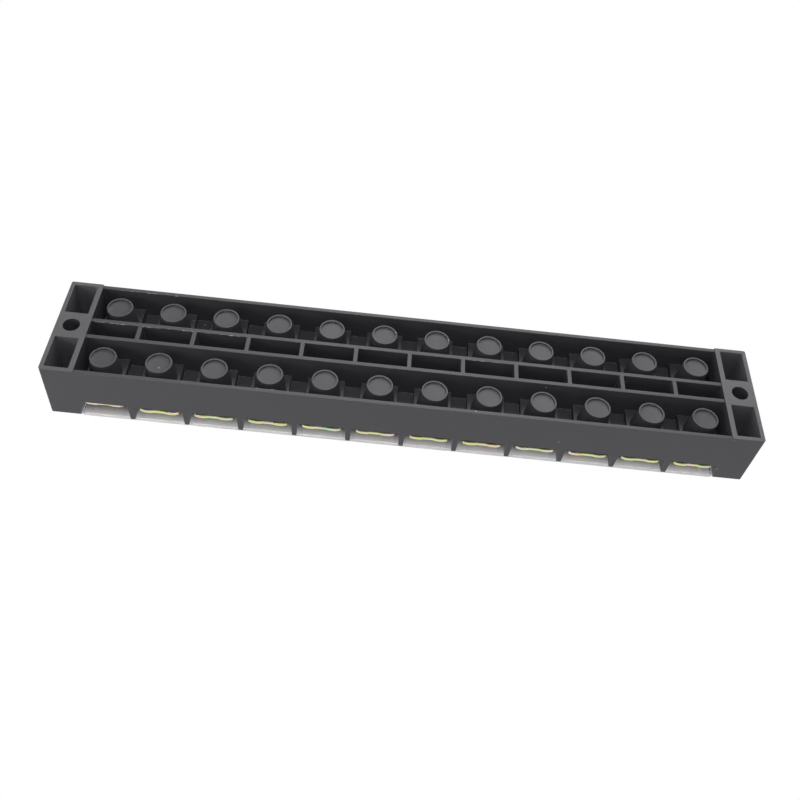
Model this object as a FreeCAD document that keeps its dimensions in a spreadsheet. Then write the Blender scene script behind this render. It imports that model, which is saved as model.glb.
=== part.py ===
"""Twelve-way dual-row barrier terminal strip with its clear cover, in millimetres.

The strip stands on its mounting feet at z = 0, the terminals face up and the poles run along X.
"""

import FreeCAD, Part

import os

import Sketcher

doc = FreeCAD.newDocument("TerminalStrip")
sheet = doc.addObject("Spreadsheet::Sheet", "dims")
Vector = FreeCAD.Vector
rowNumber = 0


def dimension(alias, value, note):
    """Write one driving dimension into the sheet: its value, its alias and what it is."""
    global rowNumber
    rowNumber += 1
    sheet.set(f"A{rowNumber}", note)
    sheet.set(f"B{rowNumber}", str(value))
    sheet.setAlias(f"B{rowNumber}", alias)


# Row of poles and outer form of the housing
dimension("poles", 12, "number of poles")
dimension("pitch", 13.0, "distance from one pole to the next")
dimension("endLength", 6.6, "end face beyond the outer edge of the last pole")
dimension("bodyWidth", 28.5, "width of the housing over its long walls")
dimension("cornerRadius", 0.5, "radius on the upright corners")
dimension("wall", 1.0, "moulded wall")
dimension("crossWall", 1.25, "wall between an end pocket and the troughs")
dimension("footStep", 0.4, "how far the end feet stand proud of walls and ribs")

# Underside, cored out behind each terminal
dimension("deckUnder", 8.3, "height of the trough ceiling between two poles")
dimension("blockUnder", 6.5, "height of the block around each post")
dimension("blockLength", 9.0, "length of that block along the row")
dimension("postDiameter", 6.2, "face of the round post that holds the screw's end")
dimension("postRoot", 7.6, "the tapering post where it grows out of its block")
dimension("postFace", 1.1, "height of the post's rim above the feet")
dimension("postRim", 0.4, "width of the raised rim on the post's face")
dimension("postDish", 0.5, "depth of the dish inside that rim")
dimension("postFloor", 1.1, "plastic left between the dish and the screw socket")
dimension("spineWidth", 6.2, "width of the hollow spine over the tips of its two ribs")
dimension("spineRoot", 7.4, "the same at the trough ceiling, where the ribs are thicker")
dimension("spineTop", 7.6, "height of the channel between those ribs")
dimension("crossRib", 1.0, "thickness of the ribs that cross the channel")

# End blocks with the mounting holes
dimension("holeBlock", 8.0, "width of the solid block round a mounting hole")
dimension("mountHole", 4.0, "diameter of the mounting holes")
dimension("holeOffset", 2.9, "mounting holes out from the outer edge of the last pole")
dimension("endSkin", 1.6, "plastic left over the end pockets")

# Terminal side
dimension("deckThick", 1.8, "plastic between the trough ceiling and the contact bars")
dimension("barrierRoot", 1.7, "thickness of a barrier at its root")
dimension("barrierTip", 1.1, "thickness of a barrier at its tip")
dimension("ridgeWidth", 4.8, "ridge between the two rows")
dimension("ridgeFloor", 1.14, "plastic between a contact bar and the core of the ridge")
dimension("socketGap", 0.4, "space round a screw in the blind socket of its post")

# Contact bars
dimension("barSide", 0.65, "space beside a contact bar in its bay")
dimension("barThick", 1.1, "thickness of a contact bar")
dimension("threadFit", 0.1, "clearance of the plain shank in a bar's tapped hole")
dimension("slideFit", 0.1, "clearance round a bar, in the ridge and at its ends")
dimension("liftFit", 0.06, "clearance over a bar")

# Wire clamps and screws
dimension("clampSide", 0.05, "clamp's sides inside those of the contact bar")
dimension("clampInset", 0.5, "clamp's outer edge inside the housing's face")
dimension("clampFit", 0.15, "play between a clamp and the ridge")
dimension("clampThick", 1.0, "sheet of the clamp plate")
dimension("clampWave", 0.25, "height of the two arches pressed into the plate")
dimension("archInner", 1.2, "start of an arch out from the screw's centre")
dimension("archRise", 0.8, "length of the slope up to an arch, and down from it")
dimension("archLength", 1.4, "length of the arch's flat top")
dimension("clampHoleFit", 0.2, "space round the screw in its clamp")
dimension("screwDiameter", 4.0, "outer diameter of the thread")
dimension("screwLength", 8.0, "length under the head")
dimension("tipChamfer", 0.5, "chamfer on the screw's tip")
dimension("threadPitch", 0.7, "lift in one turn")
dimension("mostTurns", 1.85, "turns from tight to fully backed off")
dimension("headDiameter", 7.4, "screw head")
dimension("headHeight", 2.1, "height of the screw head")
dimension("headEdge", 1.5, "height of the head's straight side")
dimension("slotWidth", 1.1, "driving slot")
dimension("slotDepth", 1.1, "depth of the driving slot")
dimension("seatFit", 0.03, "play between head and plate")
dimension("headRoom", 0.065, "space left over a head that is fully backed off")

# Clear cover
dimension("coverThick", 1.0, "thickness of the cover")
dimension("coverInset", 0.5, "cover's long edges inside the housing's faces")
dimension("coverEndGap", 0.15, "play between the cover and each end block")
dimension("pinPoles", 4, "poles from an outer locating pin to the inner one beside it")
dimension("pinWall", 0.1, "plastic left between a pin's hole and the ridge's walls")
dimension("pinFit", 0.1, "clearance round a pin")
dimension("pinTipGap", 0.2, "space left under a pin's tip")
dimension("pinBoss", 5.0, "length of the solid boss round a pin's hole")
doc.recompute()

# Turns by which each terminal screw is backed off, first pole first
turnsOpen = {
    "a": [0.0, 1.5, 1.45, 1.5, 1.4, 1.3, 1.4, 1.6, 1.35, 1.45, 1.3, 1.35],
    "b": [1.4, 1.5, 1.3, 1.45, 1.6, 1.35, 1.5, 1.4, 1.55, 1.3, 1.45, 1.5],
}
rowSide = {"a": 1, "b": -1}
slotStep = 15.0  # degrees by which each screw's slot is turned from its neighbour's
roughRadius = 5.0  # a sketch's lines start on a circle of this radius, and its constraints place them

# Lengths that follow from the sheet, as expressions
halfLength = "(dims.poles * dims.pitch / 2 + dims.endLength)"
halfPoles = "(dims.poles * dims.pitch / 2)"
halfTrough = "(dims.poles * dims.pitch / 2 - dims.crossWall)"
halfWidth = "(dims.bodyWidth / 2)"
innerWidth = "(dims.bodyWidth / 2 - dims.wall)"
halfBar = "((dims.pitch - dims.barrierRoot) / 2 - dims.barSide)"
halfClamp = f"({halfBar} - dims.clampSide)"
halfSpine = "(dims.spineWidth / 2)"
firstPole = "(dims.poles * dims.pitch / 2 - dims.pitch / 2)"
floorTop = "(dims.deckUnder + dims.deckThick)"
sillTop = f"({floorTop} + dims.barThick)"
clampStack = "(dims.clampThick + dims.clampWave + dims.seatFit)"
backedOff = "(dims.liftFit + dims.mostTurns * dims.threadPitch)"
bodyHeight = f"({sillTop} + {backedOff} + {clampStack} + dims.headHeight + dims.headRoom)"
coreTop = f"({sillTop} + dims.liftFit + dims.ridgeFloor)"
halfCore = "(dims.ridgeWidth / 2 - dims.wall)"
clampOuter = "(dims.bodyWidth / 2 - dims.clampInset)"
clampInner = "(dims.ridgeWidth / 2 + dims.clampFit)"
rowOffset = f"(({clampOuter} + {clampInner}) / 2)"
holePlace = "(dims.poles * dims.pitch / 2 + dims.holeOffset)"
pinHole = "(dims.ridgeWidth - 2 * dims.wall - 2 * dims.pinWall)"
pinDiameter = f"({pinHole} - 2 * dims.pinFit)"

# The cover's pins stand over the first and last pole, and over the fifth from each end
pinPlaces = [firstPole, f"({firstPole} - dims.pinPoles * dims.pitch)"]


def newBody(label):
    body = doc.addObject("PartDesign::Body", label)
    body.Label = label
    return body


def originFeature(body, role):
    return next(item for item in body.Origin.OriginFeatures if item.Role == role)


def newSketch(body, name, role="XY_Plane", height=None):
    """A sketch on one of the body's own planes, raised along that plane's normal by height."""
    sketch = body.newObject("Sketcher::SketchObject", name)
    sketch.AttachmentSupport = [(originFeature(body, role), "")]
    sketch.MapMode = "FlatFace"
    if height:
        sketch.setExpression("AttachmentOffset.Base.z", height)
    return sketch


def bind(sketch, kind, geometry, vertex, expression):
    """Hold a vertex at a signed distance from the sketch's origin. A leading minus is the sign."""
    if expression == "0":
        axis = -2 if kind == "DistanceX" else -1
        sketch.addConstraint(Sketcher.Constraint("PointOnObject", geometry, vertex, axis))
        return
    if expression.startswith("-"):
        index = sketch.addConstraint(Sketcher.Constraint(kind, geometry, vertex, -1, 1, 1.0))
        sketch.setExpression(f"Constraints[{index}]", expression[1:])
    else:
        index = sketch.addConstraint(Sketcher.Constraint(kind, -1, 1, geometry, vertex, 1.0))
        sketch.setExpression(f"Constraints[{index}]", expression)


def addPolygon(sketch, corners):
    """A closed outline with every corner held from the origin."""
    first = sketch.GeometryCount
    count = len(corners)
    ring = []
    for k in range(count):
        turned = FreeCAD.Rotation(Vector(0, 0, 1), 360.0 * k / count)
        ring.append(turned.multVec(Vector(roughRadius, 0, 0)))
    for k in range(count):
        sketch.addGeometry(Part.LineSegment(ring[k], ring[(k + 1) % count]), False)
    for k in range(count):
        following = first + (k + 1) % count
        sketch.addConstraint(Sketcher.Constraint("Coincident", first + k, 2, following, 1))
    for k, (across, up) in enumerate(corners):
        bind(sketch, "DistanceX", first + k, 1, across)
        bind(sketch, "DistanceY", first + k, 1, up)


def addRectangle(sketch, left, right, low, high):
    addPolygon(sketch, [(left, low), (right, low), (right, high), (left, high)])


def addCircle(sketch, across, up, diameter):
    index = sketch.addGeometry(Part.Circle(Vector(1, 1, 0), Vector(0, 0, 1), 1.0), False)
    bind(sketch, "DistanceX", index, 3, across)
    bind(sketch, "DistanceY", index, 3, up)
    size = sketch.addConstraint(Sketcher.Constraint("Diameter", index, 2.0))
    sketch.setExpression(f"Constraints[{size}]", diameter)


def pad(body, name, sketch, length, reverse=False, midplane=False):
    feature = body.newObject("PartDesign::Pad", name)
    feature.Profile = sketch
    feature.setExpression("Length", length)
    feature.Reversed = reverse
    if midplane:
        feature.SideType = "Symmetric"
    return feature


def pocket(body, name, sketch, length, reverse=False, midplane=False):
    feature = body.newObject("PartDesign::Pocket", name)
    feature.Profile = sketch
    feature.setExpression("Length", length)
    feature.Reversed = reverse
    if midplane:
        feature.SideType = "Symmetric"
    return feature


def alongRow(body, name, originals, count):
    """Repeat features along the row, one pitch apart."""
    pattern = body.newObject("PartDesign::LinearPattern", name)
    pattern.Originals = originals
    pattern.Direction = (originFeature(body, "X_Axis"), [""])
    pattern.setExpression("Occurrences", count)
    pattern.setExpression("Length", f"dims.pitch * ({count} - 1)")
    body.Tip = pattern
    return pattern


def makeBase():
    """Moulded housing, cored from below and opened from above at each terminal."""
    body = newBody("base")

    outline = newSketch(body, "OutlineSketch")
    addRectangle(outline, "-" + halfLength, halfLength, "-" + halfWidth, halfWidth)
    block = pad(body, "Block", outline, bodyHeight)
    doc.recompute()
    corners = body.newObject("PartDesign::Fillet", "Corners")
    upright = [
        f"Edge{k + 1}"
        for k, edge in enumerate(block.Shape.Edges)
        if abs(edge.Vertexes[0].Point.z - edge.Vertexes[-1].Point.z) > 1.0
    ]
    corners.Base = (block, upright)
    corners.setExpression("Radius", "dims.cornerRadius")

    # The walls and ribs between the end feet stop short of the mounting plane
    step = newSketch(body, "FootStepSketch")
    addRectangle(step, "-" + halfTrough, halfTrough, "-dims.bodyWidth", "dims.bodyWidth")
    pocket(body, "FootStep", step, "dims.footStep", reverse=True)

    # A trough under each row, and the channel in the spine between them
    trough = newSketch(body, "TroughSketch", role="YZ_Plane")
    section = [(halfSpine, "0"), (innerWidth, "0"), (innerWidth, "dims.deckUnder")]
    section.append(("(dims.spineRoot / 2)", "dims.deckUnder"))
    addPolygon(trough, section)
    addPolygon(trough, [("-" + across, up) for across, up in section[::-1]])
    pocket(body, "Troughs", trough, f"2 * {halfTrough}", midplane=True)
    channel = newSketch(body, "ChannelSketch")
    halfChannel = "(dims.spineWidth / 2 - dims.wall)"
    addRectangle(channel, "-" + halfTrough, halfTrough, "-" + halfChannel, halfChannel)
    pocket(body, "Channel", channel, "dims.spineTop", reverse=True)

    # Two deep pockets in each end block, either side of the mounting hole
    endPockets = newSketch(body, "EndPocketSketch")
    pocketEnd = "(dims.poles * dims.pitch / 2 + dims.endLength - dims.wall)"
    besideHole = "(dims.holeBlock / 2)"
    for low, high in ((besideHole, innerWidth), ("-" + innerWidth, "-" + besideHole)):
        addRectangle(endPockets, halfPoles, pocketEnd, low, high)
        addRectangle(endPockets, "-" + pocketEnd, "-" + halfPoles, low, high)
    pocket(body, "EndPockets", endPockets, f"{bodyHeight} - dims.endSkin", reverse=True)
    holes = newSketch(body, "MountHoleSketch")
    addCircle(holes, holePlace, "0", "dims.mountHole")
    addCircle(holes, "-" + holePlace, "0", "dims.mountHole")
    pocket(body, "MountHoles", holes, bodyHeight, reverse=True)

    # First pole: block and post hang from the deck
    blocks = newSketch(body, "PostBlockSketch", height="dims.deckUnder")
    blockStart = f"({firstPole} + dims.blockLength / 2)"
    blockEnd = f"({firstPole} - dims.blockLength / 2)"
    addRectangle(blocks, "-" + blockStart, "-" + blockEnd, halfSpine, innerWidth)
    addRectangle(blocks, "-" + blockStart, "-" + blockEnd, "-" + innerWidth, "-" + halfSpine)
    postBlocks = pad(body, "PostBlocks", blocks, "dims.deckUnder - dims.blockUnder", reverse=True)
    posts = newSketch(body, "PostSketch", height="dims.blockUnder")
    dish = newSketch(body, "PostDishSketch", height="dims.postFace")
    sockets = newSketch(body, "SocketSketch", height=floorTop)
    for side in (rowOffset, "-" + rowOffset):
        addCircle(posts, "-" + firstPole, side, "dims.postRoot")
        addCircle(dish, "-" + firstPole, side, "dims.postDiameter - 2 * dims.postRim")
        addCircle(sockets, "-" + firstPole, side, "dims.screwDiameter + 2 * dims.socketGap")
    postPads = pad(body, "Posts", posts, "dims.blockUnder - dims.postFace", reverse=True)
    taper = "(dims.postRoot - dims.postDiameter) / 2 / (dims.blockUnder - dims.postFace)"
    postPads.setExpression("TaperAngle", f"-atan({taper})")
    dishes = pocket(body, "PostDishes", dish, "dims.postDish", reverse=True)

    # First pole: the bay between two tapering barriers, open to the outside above the sill
    halfFloor = "((dims.pitch - dims.barrierRoot) / 2)"
    halfMouth = "((dims.pitch - dims.barrierTip) / 2)"
    spread = "((dims.barrierRoot - dims.barrierTip) / 2)"
    halfSill = f"({halfFloor} + {spread} * dims.barThick / ({bodyHeight} - {floorTop}))"

    def bayProfile(name, low, halfLow):
        sketch = newSketch(body, name, role="XZ_Plane")
        addPolygon(
            sketch,
            [
                (f"-({firstPole} + {halfLow})", low),
                (f"-({firstPole} - {halfLow})", low),
                (f"-({firstPole} - {halfMouth})", bodyHeight),
                (f"-({firstPole} + {halfMouth})", bodyHeight),
            ],
        )
        return sketch

    bay = bayProfile("BaySketch", floorTop, halfFloor)
    bays = pocket(body, "Bays", bay, "dims.bodyWidth - 2 * dims.wall", midplane=True)
    window = bayProfile("WindowSketch", sillTop, halfSill)
    windows = pocket(body, "Windows", window, "dims.bodyWidth * 2", midplane=True)
    screwSockets = pocket(
        body,
        "ScrewSockets",
        sockets,
        f"{floorTop} - dims.postFace - dims.postDish - dims.postFloor",
    )

    # First pole: the ridge between the rows, the bar's way through it, and its core from above
    ridgeStart = f"-({firstPole} + dims.pitch / 2)"
    ridgeEnd = f"-({firstPole} - dims.pitch / 2)"
    ridge = newSketch(body, "RidgeSketch", height=floorTop)
    addRectangle(ridge, ridgeStart, ridgeEnd, "-dims.ridgeWidth / 2", "dims.ridgeWidth / 2")
    ridges = pad(body, "Ridge", ridge, f"{bodyHeight} - {floorTop}")
    slot = newSketch(body, "BarSlotSketch", height=floorTop)
    slotHalf = f"({halfBar} + dims.slideFit)"
    slotStart = f"-({firstPole} + {slotHalf})"
    slotEnd = f"-({firstPole} - {slotHalf})"
    addRectangle(slot, slotStart, slotEnd, "-dims.ridgeWidth", "dims.ridgeWidth")
    barSlots = pocket(body, "BarSlots", slot, "dims.barThick + dims.liftFit", reverse=True)
    core = newSketch(body, "RidgeCoreSketch", height=coreTop)
    coreStart = f"-({firstPole} + {halfFloor})"
    coreEnd = f"-({firstPole} - {halfFloor})"
    addRectangle(core, coreStart, coreEnd, "-" + halfCore, halfCore)
    ridgeCores = pocket(body, "RidgeCores", core, f"{bodyHeight} - {coreTop}", reverse=True)

    # First pole: the rib across the channel under its far barrier. The last one is in an end block
    rib = newSketch(body, "CrossRibSketch", height="dims.footStep")
    ribStart = f"-({firstPole} - dims.pitch / 2 + dims.crossRib / 2)"
    ribEnd = f"-({firstPole} - dims.pitch / 2 - dims.crossRib / 2)"
    addRectangle(rib, ribStart, ribEnd, "-" + halfChannel, halfChannel)
    crossRibs = pad(body, "CrossRibs", rib, "dims.spineTop - dims.footStep")

    poleFeatures = [postBlocks, postPads, dishes, bays, windows, screwSockets]
    poleFeatures += [ridges, barSlots, ridgeCores, crossRibs]
    alongRow(body, "Poles", poleFeatures, "dims.poles")

    # Bosses in four of the ridge's cores, each with a hole for one of the cover's pins
    bosses = newSketch(body, "PinBossSketch", height=coreTop)
    halfBoss = "(dims.pinBoss / 2)"
    for place in pinPlaces:
        for sign in ("-", ""):
            near, far = f"({place} - {halfBoss})", f"({place} + {halfBoss})"
            start, end = (sign + far, sign + near) if sign else (near, far)
            addRectangle(bosses, start, end, "-" + halfCore, halfCore)
            addCircle(bosses, sign + place, "0", pinHole)
    pad(body, "PinBosses", bosses, f"{bodyHeight} - {coreTop}")
    return body


def makeBars():
    """Twelve flat contact bars, one across each pole, each with two tapped holes."""
    body = newBody("contact_bars")
    reach = "(dims.bodyWidth / 2 - dims.wall - dims.slideFit)"
    outline = newSketch(body, "BarSketch", height=floorTop)
    start, end = f"-({firstPole} + {halfBar})", f"-({firstPole} - {halfBar})"
    addRectangle(outline, start, end, "-" + reach, reach)
    for side in (rowOffset, "-" + rowOffset):
        addCircle(outline, "-" + firstPole, side, "dims.screwDiameter + 2 * dims.threadFit")
    bar = pad(body, "Bar", outline, "dims.barThick")
    alongRow(body, "Bars", [bar], "dims.poles")
    return body


def makeCover():
    """Clear plate that lies on the barrier tips between the end blocks, held by four pins."""
    body = newBody("cover")
    plate = newSketch(body, "PlateSketch", height=bodyHeight)
    halfCover = "((dims.poles * dims.pitch - dims.barrierTip) / 2 - dims.coverEndGap)"
    halfDepth = "(dims.bodyWidth / 2 - dims.coverInset)"
    addRectangle(plate, "-" + halfCover, halfCover, "-" + halfDepth, halfDepth)
    pad(body, "Plate", plate, "dims.coverThick")
    pins = newSketch(body, "PinSketch", height=bodyHeight)
    for place in pinPlaces:
        addCircle(pins, place, "0", pinDiameter)
        addCircle(pins, "-" + place, "0", pinDiameter)
    pad(body, "Pins", pins, f"{bodyHeight} - {coreTop} - dims.pinTipGap", reverse=True)
    return body


def makeClamp(label, pole, side, turns):
    """Square wire clamp: a pressed plate with two arches, one for the wire each side of the screw."""
    body = newBody(label)
    profile = newSketch(body, "ProfileSketch", role="XZ_Plane")
    lower = [
        (halfClamp, "0"),
        ("(dims.archInner + 2 * dims.archRise + dims.archLength)", "0"),
        ("(dims.archInner + dims.archRise + dims.archLength)", "dims.clampWave"),
        ("(dims.archInner + dims.archRise)", "dims.clampWave"),
        ("dims.archInner", "0"),
    ]
    under = [("-" + across, up) for across, up in lower] + lower[::-1]
    over = [
        (across, "dims.clampThick" if up == "0" else f"({up} + dims.clampThick)")
        for across, up in under[::-1]
    ]
    addPolygon(profile, under + over)
    pad(body, "Plate", profile, f"{clampOuter} - {clampInner}", midplane=True)
    hole = newSketch(body, "HoleSketch")
    addCircle(hole, "0", "0", "dims.screwDiameter + 2 * dims.clampHoleFit")
    pocket(body, "ScrewHole", hole, "dims.clampThick + dims.clampWave", reverse=True)
    placeOnPole(body, pole, side, clampHeight(turns))
    return body


def makeScrew(label, pole, side, turns):
    """Slotted binding-head screw with a plain shank at the thread's outer diameter."""
    body = newBody(label)
    profile = newSketch(body, "ProfileSketch", role="XZ_Plane")
    addPolygon(
        profile,
        [
            ("0", "-dims.screwLength"),
            ("(dims.screwDiameter / 2 - dims.tipChamfer)", "-dims.screwLength"),
            ("(dims.screwDiameter / 2)", "-(dims.screwLength - dims.tipChamfer)"),
            ("(dims.screwDiameter / 2)", "0"),
            ("(dims.headDiameter / 2)", "0"),
            ("(dims.headDiameter / 2)", "dims.headEdge"),
            ("(dims.headDiameter / 2 - dims.headHeight + dims.headEdge)", "dims.headHeight"),
            ("0", "dims.headHeight"),
        ],
    )
    turned = body.newObject("PartDesign::Revolution", "Turned")
    turned.Profile = profile
    turned.ReferenceAxis = (profile, ["V_Axis"])
    turned.Angle = 360
    slot = newSketch(body, "SlotSketch", height="dims.headHeight")
    addRectangle(
        slot, "-dims.headDiameter", "dims.headDiameter", "-dims.slotWidth / 2", "dims.slotWidth / 2"
    )
    pocket(body, "Slot", slot, "dims.slotDepth")
    body.Placement.Rotation = FreeCAD.Rotation(Vector(0, 0, 1), 360.0 * turns + slotStep * pole)
    placeOnPole(body, pole, side, f"{clampHeight(turns)} + {clampStack}")
    return body


def clampHeight(turns):
    """Underside of a clamp whose screw is backed off by so many turns."""
    return f"{sillTop} + dims.liftFit + {turns} * dims.threadPitch"


def placeOnPole(body, pole, side, height):
    body.setExpression("Placement.Base.x", f"{pole} * dims.pitch - {firstPole}")
    body.setExpression("Placement.Base.y", f"{side} * {rowOffset}")
    body.setExpression("Placement.Base.z", height)


nodes = [makeBase(), makeBars(), makeCover()]
for row, side in rowSide.items():
    for pole in range(int(sheet.get("poles"))):
        turns = turnsOpen[row][pole % len(turnsOpen[row])]
        nodes.append(makeClamp(f"clamp_{row}{pole + 1:02d}", pole, side, turns))
        nodes.append(makeScrew(f"screw_{row}{pole + 1:02d}", pole, side, turns))
doc.recompute()

failed = [item.Name for item in doc.Objects if {"Invalid", "Error"} & set(item.State)]
if failed:
    raise SystemExit("objects failed: " + ", ".join(failed))
for node in nodes:
    if node.Shape.isNull() or not node.Shape.isValid():
        raise SystemExit("bad shape: " + node.Label)
os.makedirs("parts", exist_ok=True)
for node in nodes:
    node.Shape.exportStep(f"parts/{node.Label}.step")
    print(node.Label, len(node.Shape.Solids), round(node.Shape.Volume, 2))
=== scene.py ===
import math

import bmesh
import bpy
import numpy as np
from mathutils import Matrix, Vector


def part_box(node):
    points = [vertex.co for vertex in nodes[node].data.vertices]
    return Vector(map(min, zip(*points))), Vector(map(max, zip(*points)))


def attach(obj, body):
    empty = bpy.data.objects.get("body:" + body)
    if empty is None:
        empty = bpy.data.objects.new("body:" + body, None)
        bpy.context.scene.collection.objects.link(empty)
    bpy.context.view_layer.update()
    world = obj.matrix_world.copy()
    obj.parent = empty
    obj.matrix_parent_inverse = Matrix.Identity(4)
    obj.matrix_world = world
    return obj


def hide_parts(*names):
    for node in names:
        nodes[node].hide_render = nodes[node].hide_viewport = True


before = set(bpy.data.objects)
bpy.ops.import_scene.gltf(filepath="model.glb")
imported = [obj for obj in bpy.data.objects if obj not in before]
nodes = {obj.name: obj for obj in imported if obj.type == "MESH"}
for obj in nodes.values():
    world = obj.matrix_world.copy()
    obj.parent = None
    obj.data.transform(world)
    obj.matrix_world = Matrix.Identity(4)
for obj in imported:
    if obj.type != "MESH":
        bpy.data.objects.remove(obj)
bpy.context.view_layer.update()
millimetre = 0.001
print("frame loaded,", len(nodes), "nodes")


# Tools used by every piece


def linearColour(hexText):
    # sRGB to linear: a channel c becomes ((c + 0.055) / 1.055) to the power 2.4, or c / 12.92 when dark
    channels = np.array([int(hexText[k:k + 2], 16) for k in (1, 3, 5)]) / 255
    linear = np.where(channels > 0.04045, ((channels + 0.055) / 1.055) ** 2.4, channels / 12.92)
    return (*linear.tolist(), 1.0)


def addNode(tree, kind, settings=(), links=()):
    # one node with its settings; an input is linked when its value is a socket, and set when it is a number
    node = tree.nodes.new("ShaderNode" + kind)
    for name, value in dict(settings).items():
        if name == "stops":
            elements = node.color_ramp.elements
            for k, (place, colour) in enumerate(value):
                element = elements[k] if k < 2 else elements.new(place)
                element.position = place
                element.color = linearColour(colour)
        else:
            setattr(node, name, value)
    for name, value in dict(links).items():
        if isinstance(value, bpy.types.NodeSocket):
            tree.links.new(value, node.inputs[name])
        else:
            node.inputs[name].default_value = value
    return node


def newMaterial(name):
    # a material with an empty node tree, and that tree
    material = bpy.data.materials.new(name)
    material.use_nodes = True
    material.node_tree.nodes.clear()
    return material, material.node_tree


def dress(piece, material):
    # the piece wears this material alone
    piece.data.materials.clear()
    piece.data.materials.append(material)


def gridFaces(rows, columns, closedRows=False):
    # quads of a grid whose columns close up: each takes two neighbours in its row and the two below
    row = np.arange(rows if closedRows else rows - 1)[:, None]
    column = np.arange(columns)[None, :]
    nextRow = (row + 1) % rows
    nextColumn = (column + 1) % columns
    corners = [row * columns + column, row * columns + nextColumn]
    corners += [nextRow * columns + nextColumn, nextRow * columns + column]
    return np.stack(np.broadcast_arrays(*corners), axis=-1).reshape(-1, 4)


def makePiece(name, patches, material, body, sharpAngle=40):
    # patches are (points in millimetres, quads): stacked in one mesh, doubles merged, faces turned outwards
    starts = np.cumsum([0] + [len(points) for points, faces in patches])
    points = np.concatenate([points for points, faces in patches]) * millimetre
    quads = np.concatenate([patch[1] + start for patch, start in zip(patches, starts)])
    mesh = bpy.data.meshes.new(name)
    mesh.vertices.add(len(points))
    mesh.vertices.foreach_set("co", points.astype(np.float32).ravel())
    mesh.loops.add(quads.size)
    mesh.loops.foreach_set("vertex_index", quads.astype(np.int32).ravel())
    mesh.polygons.add(len(quads))
    mesh.polygons.foreach_set("loop_start", np.arange(0, quads.size, 4, dtype=np.int32))
    mesh.update(calc_edges=True)
    mesh.validate()
    solid = bmesh.new()
    solid.from_mesh(mesh)
    bmesh.ops.remove_doubles(solid, verts=solid.verts, dist=1e-6)
    bmesh.ops.recalc_face_normals(solid, faces=solid.faces)
    solid.to_mesh(mesh)
    solid.free()
    mesh.polygons.foreach_set("use_smooth", np.ones(len(mesh.polygons), bool))
    mesh.set_sharp_from_angle(angle=math.radians(sharpAngle))
    piece = bpy.data.objects.new(name, mesh)
    bpy.context.scene.collection.objects.link(piece)
    dress(piece, material)
    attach(piece, body)
    return piece


def roundedCopy(node, name, material, body, radius, segments=2):
    # the CAD piece with its loose triangles joined, its flat faces made whole and its edges rounded
    mesh = nodes[node].data.copy()
    mesh.name = name
    solid = bmesh.new()
    solid.from_mesh(mesh)
    bmesh.ops.remove_doubles(solid, verts=solid.verts, dist=2e-6)
    flat = math.radians(0.6)
    bmesh.ops.dissolve_limit(solid, angle_limit=flat, verts=solid.verts, edges=solid.edges)
    solid.to_mesh(mesh)
    solid.free()
    mesh.polygons.foreach_set("use_smooth", np.ones(len(mesh.polygons), bool))
    piece = bpy.data.objects.new(name, mesh)
    bpy.context.scene.collection.objects.link(piece)
    dress(piece, material)
    bevel = piece.modifiers.new("edges", "BEVEL")
    bevel.width = radius * millimetre
    bevel.segments = segments
    bevel.limit_method = "ANGLE"
    bevel.angle_limit = math.radians(35)
    bevel.use_clamp_overlap = False
    bevel.miter_outer = "MITER_SHARP"
    weighted = piece.modifiers.new("normals", "WEIGHTED_NORMAL")
    weighted.keep_sharp = False
    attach(piece, body)
    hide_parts(node)
    return piece


# Materials

blackLook = {
    "body": "#353538",  # black thermoplastic, slightly cool
    "lighter": "#3E3E42",  # paler flow of the same plastic
    "sheen": "#FAFAFF",  # what it mirrors is a little cool as well
    "paintedPocketLight": "#59595D",  # painted light: the deep pockets of the end blocks made paler, as if lit inside
    "pocketMiddle": (80.8, 8.625, 7.3),  # out from the strip's middle, along it, across it and up, in mm
    "pocketHalf": (2.84, 4.67, 7.15),
    "foot": "#5A5959",  # the end feet, rubbed pale where they stand
    "edge": "#7C7C80",  # paler arrises: a painted highlight along the edges, with some rubbed wear
    "scuff": "#8A8A8C",
    "speck": "#B4B4B4",  # dust and small nicks
    "roughness": 0.44,
    "grain": 0.35,  # spark-eroded mould texture, drawn as coarse as it shows, in mm
    "flow": 14.0,  # size of the gloss patches, in mm
    "footHeight": 0.25,  # plastic up to here is rubbed, in mm
    "edgeHighlightWidth": 0.22,  # width of the paler arrises, in mm
    "edgeShare": 0.5,
    "speckSpacing": 3.4,  # in mm
    "speckSize": 0.06,  # as a share of that spacing
}


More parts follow.
